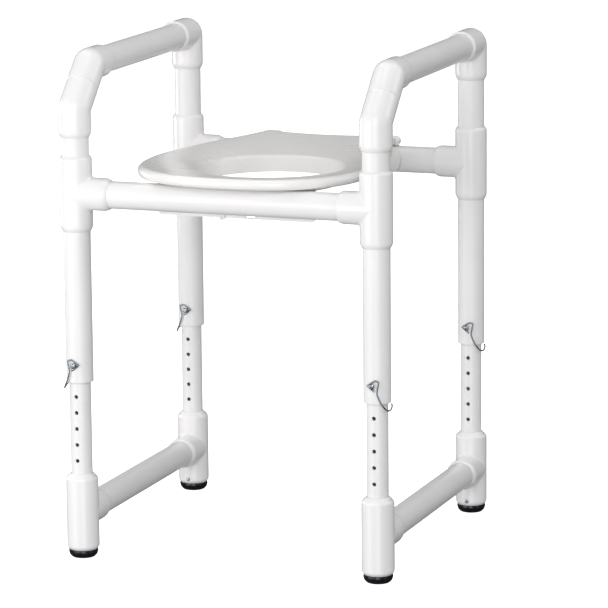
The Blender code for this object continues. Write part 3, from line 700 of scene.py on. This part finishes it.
def seat_line(outer, normal):
    """Points of the seat's section from one point of its edge to the opening and back underneath."""
    inner = opening_point(*outer)
    across = inner - outer
    length = across.length
    square = max(across.normalized().dot(normal), 0.35)
    crest = crest_z(*outer)
    back = (inner.y - OPENING_Y) / OPENING_HALF_LENGTH / 2 + 0.5
    crease = SEAT_CREASE_FRONT_Z + (SEAT_CREASE_BACK_Z - SEAT_CREASE_FRONT_Z) * back
    half_edge = (crest - SEAT_UNDERSIDE_Z) / 2
    line = []
    for k in range(SEAT_EDGE_STEPS + 1):
        turn = -QUARTER + math.pi * 0.94 * k / SEAT_EDGE_STEPS
        bulge = abs(math.cos(turn)) ** 0.85
        depth = SEAT_EDGE * (1 - bulge) + (0.003 if turn > 0 else 0) * math.sin(max(turn, 0)) ** 2
        line.append((depth / square, SEAT_UNDERSIDE_Z + half_edge * (1 + math.sin(turn))))
    start = line[-1][0]
    wall = length - SEAT_WALL_RUN
    dish_end = wall - 0.0035
    for k in range(1, SEAT_DISH_STEPS + 1):
        way = k / SEAT_DISH_STEPS
        fall = (crest - crease - 0.0007) * (0.12 * way + 0.88 * way**1.25)
        line.append((start + (dish_end - start) * way, crest - fall))
    foot = SEAT_LIP_Z - SEAT_LIP_FALL * back
    drop = crease - SEAT_LIP_Z + SEAT_LIP_FALL * back
    top = (wall + SEAT_WALL_RUN * 0.16, crease - drop * 0.16)
    line += curve_between(line[-1], (wall, crease), top, 6)
    for k in range(1, 9):
        way = 0.16 + 0.76 * k / 8
        line.append((wall + SEAT_WALL_RUN * way, crease - drop * way))
    line += curve_between(line[-1], (length, foot), (length - 0.0020, foot), 5)
    line += [(length - 0.0036, foot)]
    line += curve_between(line[-1], (length - 0.0052, foot), (length - 0.0060, foot + 0.0020), 4)
    line += [(length - 0.0125, SEAT_UNDERSIDE_Z - 0.005), (length - 0.0165, SEAT_UNDERSIDE_Z)]
    line += [(length - 0.020, SEAT_UNDERSIDE_Z)]
    line += [(SEAT_EDGE / square + 0.004, SEAT_UNDERSIDE_Z), line[0]]
    return [(*(outer + across.normalized() * depth), z) for depth, z in line]


def eased_dish(grid):
    """The seat's lines, with the ridges that run in from its back corners smoothed out of the dish."""
    points = np.array(grid)
    steps = np.linalg.norm(np.roll(points[:, 0], -1, axis=0) - points[:, 0], axis=1)
    place = np.cumsum(steps)
    apart = np.abs(place[:, None] - place[None, :])
    apart = np.minimum(apart, place[-1] - apart)
    weights = np.exp(-((apart / EASE_REACH) ** 2)) * (steps + np.roll(steps, 1))[None, :]
    smooth = np.einsum("ij,jkl->ikl", weights / weights.sum(axis=1, keepdims=True), points)
    row = np.arange(points.shape[1]) - SEAT_EDGE_STEPS
    left = SEAT_DISH_STEPS + 2 - row
    share = np.clip(np.minimum(row, left) / EASE_STEPS, 0, 1)[None, :, None]
    return (points * (1 - share) + smooth * share).tolist()


def rounded_box(low, high, radius, segments=4):
    """A box with rounded edges."""
    shape = bmesh.new()
    bmesh.ops.create_cube(shape, size=1.0)
    low, high = Vector(low), Vector(high)
    bmesh.ops.scale(shape, vec=high - low, verts=shape.verts)
    bmesh.ops.translate(shape, vec=(low + high) / 2, verts=shape.verts)
    edges = shape.edges[:]
    bmesh.ops.bevel(shape, geom=edges, offset=radius, segments=segments, profile=0.5, affect="EDGES")
    mesh = bpy.data.meshes.new("rounded_box")
    shape.to_mesh(mesh)
    shape.free()
    return mesh


def add_seat(material):
    outline, normals = seat_outline()
    grid = eased_dish([seat_line(point, normal) for point, normal in zip(outline, normals)])
    ring = grids_mesh("seat", [grid + grid[:1]])
    knuckle_half, barrel, tab = 0.0085, 0.0080, 0.0055
    ends = [(barrel, knuckle_half, 0.0008), (barrel, -knuckle_half, 0.0008)]
    knuckle = lathe("knuckle", rounded([(0, knuckle_half, 0), *ends, (0, -knuckle_half, 0)], 4), 48)
    joins, bores = [], []
    for x in HINGE_XS:
        spot = (x - SEAT_X, HINGE_AXIS.y, HINGE_AXIS.z)
        joins.append(turned_copy(knuckle, spot, (0, QUARTER, 0)))
        low = (spot[0] - knuckle_half + 0.0003, SEAT_REAR_Y - 0.014, HINGE_AXIS.z - tab)
        high = (spot[0] + knuckle_half - 0.0003, HINGE_AXIS.y - 0.003, HINGE_AXIS.z + tab)
        joins.append(rounded_box(low, high, 0.0015))
        bore = lathe("bore", [(0, 0.02), (0.0028, 0.02), (0.0028, -0.02), (0, -0.02)], 24)
        bores.append(turned_copy(bore, spot, (0, QUARTER, 0)))
    mesh = boolean_mesh("seat", ring, join=joins, cut=bores)
    mesh.transform(Matrix.Translation((SEAT_X, 0, 0)))
    shade(mesh)
    add_piece("seat", mesh, material)


def add_guard(material):
    """The plate under the seat, with its flange, its slot and its knob."""
    low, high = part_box("guard_plate")
    thickness = 0.0032
    back = high.y
    front = back - thickness
    corner = 0.004
    outline = [
        (low.x, high.z),
        (low.x, low.z + corner),
        (low.x + corner, low.z),
        (high.x - corner, low.z),
        (high.x, low.z + corner),
        (high.x, high.z),
    ]
    plate = prism("plate", outline, front, back)
    plate.transform(Matrix(((0, 1, 0, 0), (1, 0, 0, 0), (0, 0, 1, 0), (0, 0, 0, 1))))
    plate.flip_normals()
    under, over = (low.x, low.y, high.z - thickness), (high.x, back - 0.0002, high.z - 0.00001)
    flange = rounded_box(under, over, 0.0004, 2)
    knob_at = middle("guard_knob")
    mid_x = (low.x + high.x) / 2
    slot_half, slot_high = 0.0079, 0.0016
    slot_x = 2 * mid_x - knob_at.x
    slot_low = (slot_x - slot_half, low.y - 0.01, knob_at.z - slot_high)
    slot_top = (slot_x + slot_half, high.y + 0.01, knob_at.z + slot_high)
    slot = rounded_box(slot_low, slot_top, 0.0012, 3)
    hole = lathe("hole", [(0, 0.02), (0.0019, 0.02), (0.0019, -0.02), (0, -0.02)], 24)
    hole = turned_copy(hole, (knob_at.x, (front + back) / 2, knob_at.z), (QUARTER, 0, 0))
    mesh = boolean_mesh("guard_plate", plate, join=[flange], cut=[slot, hole])
    add_piece("guard_plate", bevelled(mesh, 0.0004, 2), material)
    knob = screw_mesh(half_size("guard_knob").x, thickness + 0.002)
    knob = turned_copy(knob, (knob_at.x, front - 0.0002, knob_at.z), (QUARTER, 0, 0))
    add_piece("guard_knob", knob, material)


# Hinges


def arc_points(radius, start, end, steps):
    """(y, z) points on a circle. Angles start at +Z and turn towards -Y."""
    turns = [start + (end - start) * i / steps for i in range(steps + 1)]
    return [(-radius * math.sin(turn), radius * math.cos(turn)) for turn in turns]


def add_hinges(plastic, steel):
    saddle_r, disc_r, half = 0.0240, 0.0224, 0.0160
    rise = HINGE_AXIS.z - SEAT_RAIL_Z
    barrel, dome, room = 0.0080, 0.0068, 0.0088
    start, end = math.radians(-60), math.radians(145)
    outline = arc_points(saddle_r, start, end, 64) + arc_points(SOCKET_R, start, end, 64)[::-1]
    saddle = prism("saddle", outline, -disc_r - 0.001, disc_r + 0.001)
    trim = [(disc_r, 0.04), (0.06, 0.04), (0.06, -0.04), (disc_r, -0.04), (disc_r, 0.04)]
    trimmer = turned_copy(lathe("trim", trim), (0, 0, 0), (QUARTER, 0, 0))
    saddle = boolean_mesh("saddle", saddle, cut=[trimmer])
    turns = [QUARTER * k / 10 for k in range(11)]
    ends = [(barrel * math.sin(turn), half - dome * (1 - math.cos(turn))) for turn in turns]
    ears = lathe("ears", ends + [(r, -z) for r, z in reversed(ends)], 48)
    web_half = Vector((0.0115, 0.0058))
    web = rounded_box((*-web_half, saddle_r - 0.0020), (*web_half, rise - 0.002), 0.0008, 2)
    low, high = (-room, -barrel - 0.0003, rise - 0.0083), (room, barrel + 0.0003, 2 * rise)
    gap = rounded_box(low, high, 0.0006, 2)
    bore = [(0, 0.03), (0.0027, 0.03), (0.0027, -0.03), (0, -0.03)]
    joins = [turned_copy(ears, (0, 0, rise), (0, QUARTER, 0)), web]
    bores = [gap, turned_copy(lathe("bore", bore, 24), (0, 0, rise), (0, QUARTER, 0))]
    clamp = boolean_mesh("hinge_clamp", saddle, join=joins, cut=bores)
    clamp = bevelled(clamp, 0.0006, 3)
    pin_half = half_size("hinge_pin_left").x
    pin_r = half_size("hinge_pin_left").z
    ends = [(pin_r, pin_half, 0.0006), (pin_r, -pin_half, 0.0006)]
    section = [(0, pin_half, 0), *ends, (0, -pin_half, 0)]
    pin = lathe("hinge_pin", rounded(section, 4), 32)
    for side, x in zip(SIDES, HINGE_XS):
        add_piece(f"hinge_clamp_{side}", turned_copy(clamp, (x, POST_Y["back"], SEAT_RAIL_Z)), plastic)
        fitted = turned_copy(pin, (x, HINGE_AXIS.y, HINGE_AXIS.z), (0, QUARTER, 0))
        add_piece(f"hinge_pin_{side}", fitted, steel)


# Materials


class Nodes:
    """A material's node tree, with short ways to add nodes and links."""

    def __init__(self, name):
        self.material = bpy.data.materials.new(name)
        self.material.use_nodes = True
        self.tree = self.material.node_tree
        self.shader = self.tree.nodes["Principled BSDF"]
        self.place = self.add("ShaderNodeTexCoord").outputs["Object"]

    def add(self, kind):
        return self.tree.nodes.new(kind)

    def link(self, source, target):
        self.tree.links.new(source, target)

    def noise(self, scale, detail):
        """Noise across the piece, from 0 to 1; a higher scale is finer."""
        node = self.add("ShaderNodeTexNoise")
        node.inputs["Scale"].default_value = scale
        node.inputs["Detail"].default_value = detail
        node.inputs["Roughness"].default_value = 0.55
        self.link(self.place, node.inputs["Vector"])
        return node.outputs["Fac"]

    def ramp(self, value, low, high, colours):
        """Colours across a stretch of a value."""
        node = self.add("ShaderNodeValToRGB")
        node.color_ramp.elements[0].position = low
        node.color_ramp.elements[1].position = high
        node.color_ramp.elements[0].color = (*colours[0], 1)
        node.color_ramp.elements[1].color = (*colours[1], 1)
        self.link(value, node.inputs["Fac"])
        return node.outputs["Color"]

    def spread(self, value, low, high):
        """A value from 0 to 1 spread between two others."""
        node = self.add("ShaderNodeMapRange")
        node.inputs["To Min"].default_value = low
        node.inputs["To Max"].default_value = high
        self.link(value, node.inputs["Value"])
        return node.outputs["Result"]

    def bump(self, height, strength, distance, normal=None):
        node = self.add("ShaderNodeBump")
        node.inputs["Strength"].default_value = strength
        node.inputs["Distance"].default_value = distance
        self.link(height, node.inputs["Height"])
        if normal is not None:
            self.link(normal, node.inputs["Normal"])
        return node.outputs["Normal"]


def pipe_material():
    """Extruded white pipe: a soft gloss, faint mottling and handling marks."""
    nodes = Nodes("extruded_white_plastic")
    tone = nodes.ramp(nodes.noise(9, 4), 0.3, 0.7, [(0.80, 0.79, 0.785), (0.835, 0.825, 0.82)])
    nodes.link(tone, nodes.shader.inputs["Base Color"])
    nodes.link(nodes.spread(nodes.noise(60, 5), 0.24, 0.36), nodes.shader.inputs["Roughness"])
    coarse = nodes.bump(nodes.noise(70, 2), 0.10, 0.0004)
    nodes.link(nodes.bump(nodes.noise(900, 3), 0.05, 0.0002, coarse), nodes.shader.inputs["Normal"])
    nodes.shader.inputs["IOR"].default_value = 1.53
    return nodes.material


def fitting_material():
    """Injection-moulded white fittings: glossier than the pipe, with a slight ripple."""
    nodes = Nodes("moulded_white_plastic")
    tone = nodes.ramp(nodes.noise(7, 3), 0.3, 0.7, [(0.825, 0.812, 0.806), (0.85, 0.838, 0.832)])
    nodes.link(tone, nodes.shader.inputs["Base Color"])
    nodes.link(nodes.spread(nodes.noise(40, 4), 0.16, 0.25), nodes.shader.inputs["Roughness"])
    coarse = nodes.bump(nodes.noise(45, 2), 0.12, 0.0005)
    nodes.link(nodes.bump(nodes.noise(1200, 2), 0.04, 0.0002, coarse), nodes.shader.inputs["Normal"])
    nodes.shader.inputs["IOR"].default_value = 1.53
    return nodes.material


def seat_material():
    """The seat's moulded plastic: whiter and smooth, with a fine even texture."""
    nodes = Nodes("seat_white_plastic")
    tone = nodes.ramp(nodes.noise(5, 3), 0.3, 0.7, [(0.82, 0.81, 0.797), (0.845, 0.835, 0.822)])
    nodes.link(tone, nodes.shader.inputs["Base Color"])
    nodes.link(nodes.spread(nodes.noise(12, 2), 0.25, 0.29), nodes.shader.inputs["Roughness"])
    nodes.link(nodes.bump(nodes.noise(700, 3), 0.06, 0.0002), nodes.shader.inputs["Normal"])
    nodes.shader.inputs["IOR"].default_value = 1.5
    return nodes.material


def black_material():
    """Black moulded plastic with a fine grain."""
    nodes = Nodes("black_plastic")
    tone = nodes.ramp(nodes.noise(80, 4), 0.35, 0.65, [(0.004, 0.005, 0.007), (0.009, 0.010, 0.013)])
    nodes.link(tone, nodes.shader.inputs["Base Color"])
    nodes.link(nodes.spread(nodes.noise(200, 4), 0.16, 0.30), nodes.shader.inputs["Roughness"])
    nodes.link(nodes.bump(nodes.noise(1500, 3), 0.08, 0.0002), nodes.shader.inputs["Normal"])
    nodes.shader.inputs["IOR"].default_value = 1.5
    return nodes.material


def steel_material(name, shade):
    """Drawn steel with fine drawing marks and slight tarnish; shade is its lighter grey."""
    nodes = Nodes(name)
    light = (shade * 0.92, shade, shade * 1.08)
    dark = tuple(0.6 * value for value in light)
    tone = nodes.ramp(nodes.noise(400, 4), 0.3, 0.7, [dark, light])
    nodes.link(tone, nodes.shader.inputs["Base Color"])
    nodes.link(nodes.spread(nodes.noise(900, 4), 0.16, 0.32), nodes.shader.inputs["Roughness"])
    nodes.link(nodes.bump(nodes.noise(2500, 3), 0.15, 0.0001), nodes.shader.inputs["Normal"])
    nodes.shader.inputs["Metallic"].default_value = 1.0
    return nodes.material


# Studio

# Softboxes: name, azimuth, elevation, distance, side and power. Those below the floor shine through it.
LIGHTS = (
    ("key", 25, 30, 4.0, 1.6, 15),
    ("key_spark", 25, 32, 4.0, 0.25, 8),
    ("front_low", 16, 5, 4.0, 1.8, 32),
    ("front_high", 10, 30, 4.0, 1.6, 8),
    ("right_high", 110, 60, 4.0, 1.6, 21),
    ("right_back", 115, 30, 4.0, 1.6, 18),
    ("right_low", 75, 8, 4.0, 1.6, 10),
    ("left_high", -110, 60, 4.0, 1.6, 22),
    ("left_near", -45, 5, 2.2, 1.0, 11),
    ("left_front", -20, 5, 2.2, 1.0, 10),
    ("left_back", -100, 5, 2.2, 1.0, 13),
    ("top", 0, 89, 4.0, 1.6, 22),
    ("below_right", 25, -20, 4.0, 1.6, 15),
    ("below_left", -40, -20, 4.0, 1.6, 12),
)
LIGHT_AIM = Vector((0, 0, 0.45))


def heading(azimuth, elevation):
    """The way from the object to a place round it. Azimuth 0 is its front, and 90 degrees its right."""
    level = math.cos(elevation)
    return Vector((math.sin(azimuth) * level, -math.cos(azimuth) * level, math.sin(elevation)))


def add_camera():
    """The photograph's view: nearly from the front, a little from the right and above."""
    azimuth, elevation, roll = math.radians(20.2), math.radians(11.49), math.radians(-0.5)
    distance = 5.975
    target = Vector((0.0609, SHIFT_Y, 0.3429))
    back = heading(azimuth, elevation)
    right = Vector((math.cos(azimuth), math.sin(azimuth), 0))
    up = back.cross(right)
    level, upright = right, up
    right = level * math.cos(roll) + upright * math.sin(roll)
    up = upright * math.cos(roll) - level * math.sin(roll)
    data = bpy.data.cameras.new("camera")
    data.lens = 224.9
    data.shift_x, data.shift_y = -0.0192, 0.0343
    camera = bpy.data.objects.new("camera", data)
    bpy.context.scene.collection.objects.link(camera)
    turn = Matrix((right, up, back)).transposed().to_4x4()
    camera.matrix_world = Matrix.Translation(target + back * distance) @ turn
    data.clip_end = 60
    bpy.context.scene.camera = camera


def add_light(name, azimuth, elevation, distance, size, power):
    """A square softbox at an azimuth and elevation round the object, as the views count them."""
    data = bpy.data.lights.new(name, "AREA")
    data.size = size
    data.energy = power
    light = bpy.data.objects.new(name, data)
    bpy.context.scene.collection.objects.link(light)
    back = heading(math.radians(azimuth), math.radians(elevation))
    light.location = LIGHT_AIM + back * distance
    light.rotation_euler = back.to_track_quat("Z", "Y").to_euler()


def add_world():
    """Soft light from all round, dim in reflections, behind a plain white backdrop."""
    world = bpy.data.worlds.new("studio")
    bpy.context.scene.world = world
    world.use_nodes = True
    tree = world.node_tree
    glow = tree.nodes["Background"]
    rays = tree.nodes.new("ShaderNodeLightPath")
    shades = (("Is Glossy Ray", (0.95, 0.97, 1.0, 1), 0.06), ("Is Camera Ray", (1, 1, 1, 1), 1.0))
    glow.inputs["Color"].default_value = (0.97, 0.98, 1.0, 1)
    glow.inputs["Strength"].default_value = 0.29
    surface = glow.outputs[0]
    for ray, colour, strength in shades:
        other = tree.nodes.new("ShaderNodeBackground")
        other.inputs["Color"].default_value = colour
        other.inputs["Strength"].default_value = strength
        mix = tree.nodes.new("ShaderNodeMixShader")
        tree.links.new(rays.outputs[ray], mix.inputs[0])
        tree.links.new(surface, mix.inputs[1])
        tree.links.new(other.outputs[0], mix.inputs[2])
        surface = mix.outputs[0]
    tree.links.new(surface, tree.nodes["World Output"].inputs["Surface"])


def add_studio():
    """A plain pale floor, which casts and takes no shadow, and the soft light."""
    shape = bmesh.new()
    bmesh.ops.create_grid(shape, x_segments=1, y_segments=1, size=20)
    mesh = bpy.data.meshes.new("floor")
    shape.to_mesh(mesh)
    shape.free()
    floor = bpy.data.objects.new("floor", mesh)
    bpy.context.scene.collection.objects.link(floor)
    nodes = Nodes("floor_pale")
    nodes.shader.inputs["Base Color"].default_value = (0.82, 0.82, 0.82, 1)
    nodes.shader.inputs["Roughness"].default_value = 0.9
    nodes.shader.inputs["Emission Color"].default_value = (1, 1, 1, 1)
    nodes.shader.inputs["Emission Strength"].default_value = 1.0
    mesh.materials.append(nodes.material)
    floor.visible_diffuse = False
    floor.visible_glossy = False
    floor.visible_shadow = False

    add_world()
    for light in LIGHTS:
        add_light(*light)
    bpy.context.scene.view_settings.view_transform = "Standard"


PIPE_LOOK = pipe_material()
FITTING_LOOK = fitting_material()
SEAT_LOOK = seat_material()
BLACK_LOOK = black_material()
STEEL_LOOK = steel_material("bright_steel", 0.72)
WIRE_LOOK = steel_material("wire_steel", 0.44)
add_camera()
add_tees(FITTING_LOOK)
add_elbows(FITTING_LOOK)
add_pipes(PIPE_LOOK)
add_bushings(FITTING_LOOK)
add_glides(BLACK_LOOK, STEEL_LOOK)
add_lock_pins(STEEL_LOOK, WIRE_LOOK)
add_seat(SEAT_LOOK)
add_guard(SEAT_LOOK)
add_hinges(SEAT_LOOK, STEEL_LOOK)
add_studio()
